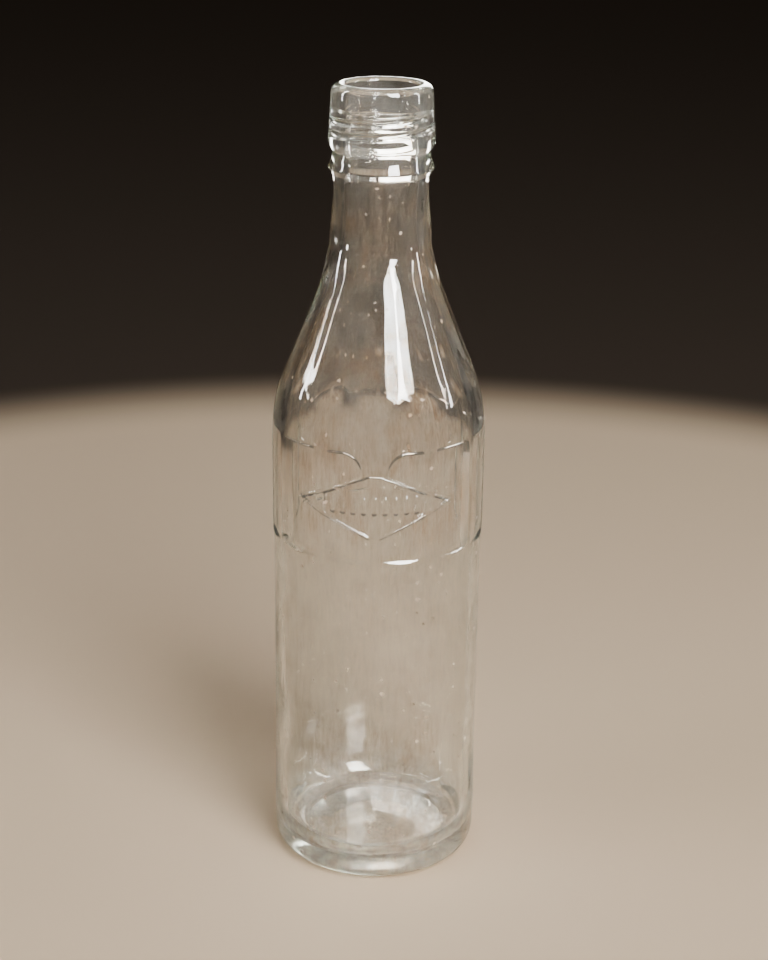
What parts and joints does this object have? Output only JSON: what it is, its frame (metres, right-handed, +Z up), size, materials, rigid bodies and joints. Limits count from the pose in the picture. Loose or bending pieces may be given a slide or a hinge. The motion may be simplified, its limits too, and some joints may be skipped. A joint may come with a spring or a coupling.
{
  "type": "glass bottle",
  "caption": "Tall pressed-glass soda bottle with a flat-panelled band, raised cartouche, fluted shoulder, sharp collar and an internal screw mouth.",
  "frame": {"origin": "centre of the bottle's footprint, on the surface that it stands on", "axes": "+Z up along the bottle's axis, out of the mouth; the cartouche is in front, towards -Y; +X is to its right"},
  "size_m": [0.072, 0.0721, 0.2715],
  "materials": {
    "glass": "clear old soda-lime glass with a faint grey-green cast, fine seeds and light surface haze"
  },
  "bodies": {
    "root": {"bottle": "glass"}
  },
  "joints": []
}
